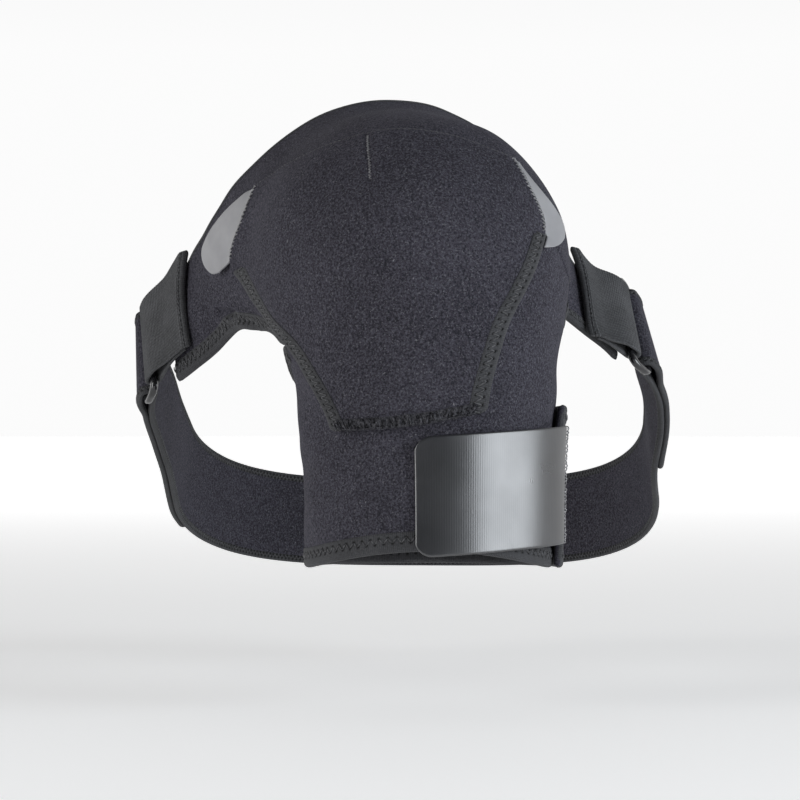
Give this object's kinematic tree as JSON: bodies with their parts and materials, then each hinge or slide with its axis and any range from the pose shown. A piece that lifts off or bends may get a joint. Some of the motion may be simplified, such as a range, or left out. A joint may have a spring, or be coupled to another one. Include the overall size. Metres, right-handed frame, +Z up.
{
  "type": "shoulder brace",
  "caption": "Right shoulder brace: cloth yoke and outer panel, wrap-round arm sleeve with a closure tab, and a chest strap through rings on elastic bands.",
  "frame": {"origin": "the seat: the wearer's skin on top of the right shoulder, above the upper arm's middle", "axes": "+X towards the wearer's front, +Y from the right arm across the body, +Z up"},
  "size_m": [0.2657, 0.408, 0.2349],
  "materials": {
    "cloth": "plush-faced foam cloth, near black with a purple cast and pale flecks",
    "tape": "soft woven edge tape, charcoal, zigzag stitched",
    "flap": "smooth satin coated cloth, light grey",
    "closure_tab": "smooth satin tab with fine upright lines, dark grey",
    "webbing": "ribbed woven elastic, near black",
    "ring": "glossy moulded plastic, black"
  },
  "bodies": {
    "root": {"yoke": "cloth", "arm_sleeve": "cloth", "shoulder_panel": "cloth", "chest_strap": "cloth", "neck_binding": "tape", "wing_binding_back": "tape", "wing_binding_front": "tape", "sleeve_hem_binding": "tape", "armpit_binding": "tape", "armhole_binding_front": "tape", "sleeve_end_binding": "tape", "panel_binding_back": "tape", "panel_binding_front": "tape", "panel_bottom_band": "tape", "strap_binding_upper": "tape", "strap_binding_lower": "tape", "flap_back": "flap", "flap_front": "flap", "closure_tab": "closure_tab", "band_back": "webbing", "band_front": "webbing", "ring_back": "ring", "ring_front": "ring"}
  },
  "joints": []
}
